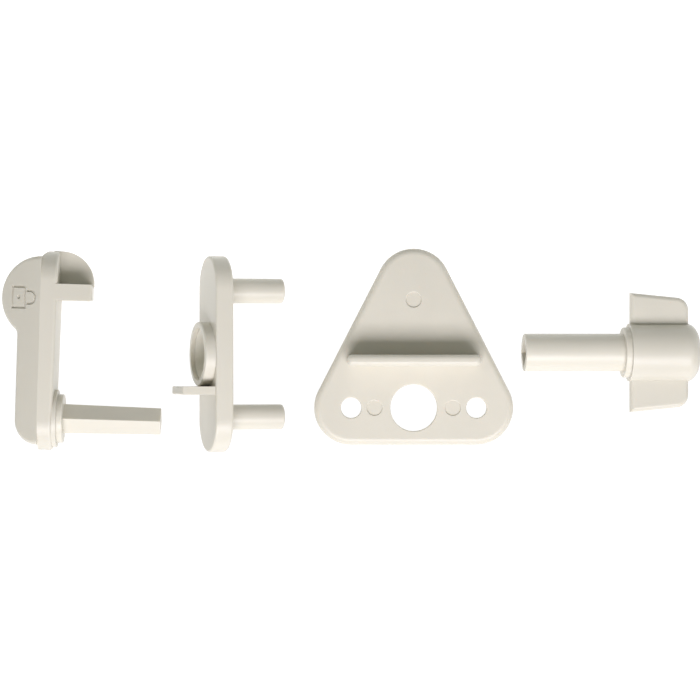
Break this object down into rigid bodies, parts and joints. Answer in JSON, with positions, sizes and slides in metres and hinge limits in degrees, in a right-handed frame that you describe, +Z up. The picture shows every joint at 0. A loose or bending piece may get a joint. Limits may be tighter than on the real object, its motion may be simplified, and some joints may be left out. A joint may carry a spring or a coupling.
{
  "type": "stair gate latch",
  "caption": "Turning latch for a stair gate: a hook with a square spindle, a guide plate with pegs, a triangular backing plate and a winged knob, laid out apart.",
  "frame": {"origin": "centre of the layout's bounding box on the surface it lies on", "axes": "+X along the row of pieces from the hook to the knob, +Y from the spindle towards the jaw, +Z up from the surface"},
  "size_m": [0.276, 0.081, 0.0294],
  "materials": {
    "hook_plastic": "semi-matt injection-moulded",
    "spindle_plastic": "semi-matt injection-moulded",
    "guide_plastic": "semi-matt injection-moulded",
    "bush_plastic": "semi-matt injection-moulded",
    "triangle_plastic": "semi-matt injection-moulded",
    "grip_plastic": "semi-matt injection-moulded",
    "sleeve_plastic": "semi-matt injection-moulded"
  },
  "bodies": {
    "plates": {"guide_plate": "guide_plastic", "bearing_bush": "bush_plastic", "triangle_plate": "triangle_plastic"},
    "hook": {"hook_lever": "hook_plastic", "hook_spindle": "spindle_plastic"},
    "knob": {"knob_grip": "grip_plastic", "knob_sleeve": "sleeve_plastic"}
  },
  "joints": [
    {"name": "knob_turn", "type": "hinge", "parent": "plates", "child": "knob", "pos_m": [0.10992, -0.0011, 0.01352], "axis": [0.9954, 0, -0.0958], "range_deg": [0, 90]},
    {"name": "hook_turn", "type": "hinge", "parent": "plates", "child": "hook", "pos_m": [-0.11753, -0.02715, 0.0116], "axis": [0.9996, -0.0297, 0], "range_deg": [0, 90]}
  ],
  "couplings": [
    {"joint": "hook_turn", "follows": "knob_turn", "ratio": 1}
  ]
}
